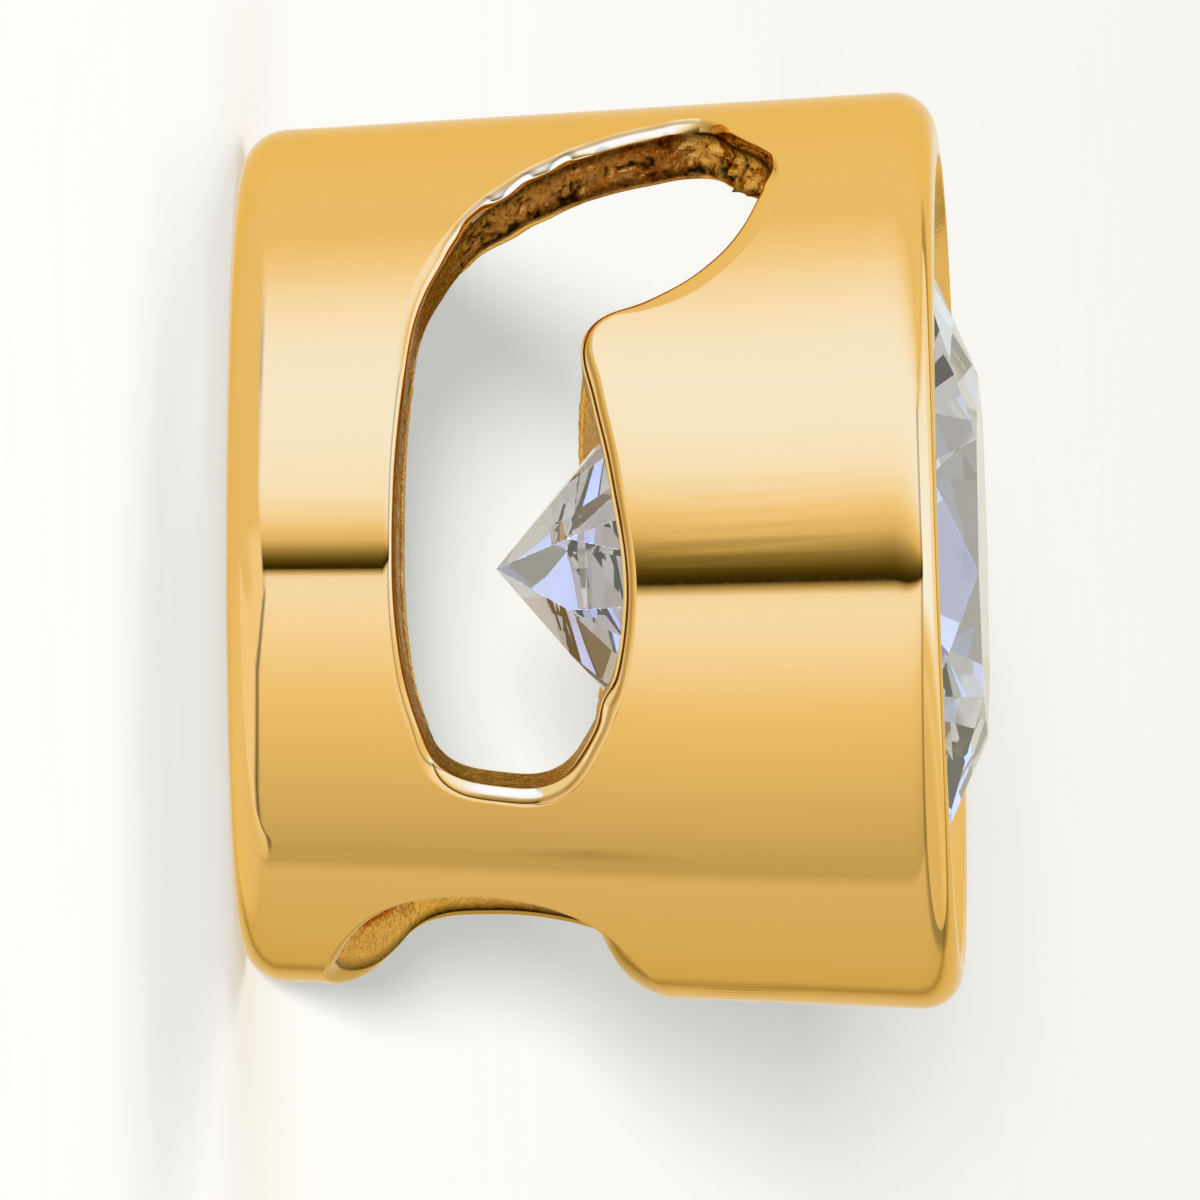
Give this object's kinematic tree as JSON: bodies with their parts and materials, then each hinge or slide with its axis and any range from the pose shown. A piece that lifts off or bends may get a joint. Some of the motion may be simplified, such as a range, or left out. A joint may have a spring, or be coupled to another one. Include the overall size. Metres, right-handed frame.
{
  "type": "slide pendant",
  "caption": "Short tapered gold tube with a large round clear stone set in its front end and a window through each side wall, so that it slides on a chain.",
  "frame": {"origin": "middle of the open back rim, on the plane that the barrel stands on", "axes": "+Z from the back rim up to the stone, +X to the wearer's bottom side with the notch, Y along the chain through the two windows"},
  "size_m": [0.0073, 0.0074, 0.0059],
  "materials": {
    "polished_gold": "polished yellow gold, rough as cast inside the windows",
    "clear_stone": "clear, polished facets"
  },
  "bodies": {
    "root": {"slide_barrel": "polished_gold", "round_stone": "clear_stone"}
  },
  "joints": []
}
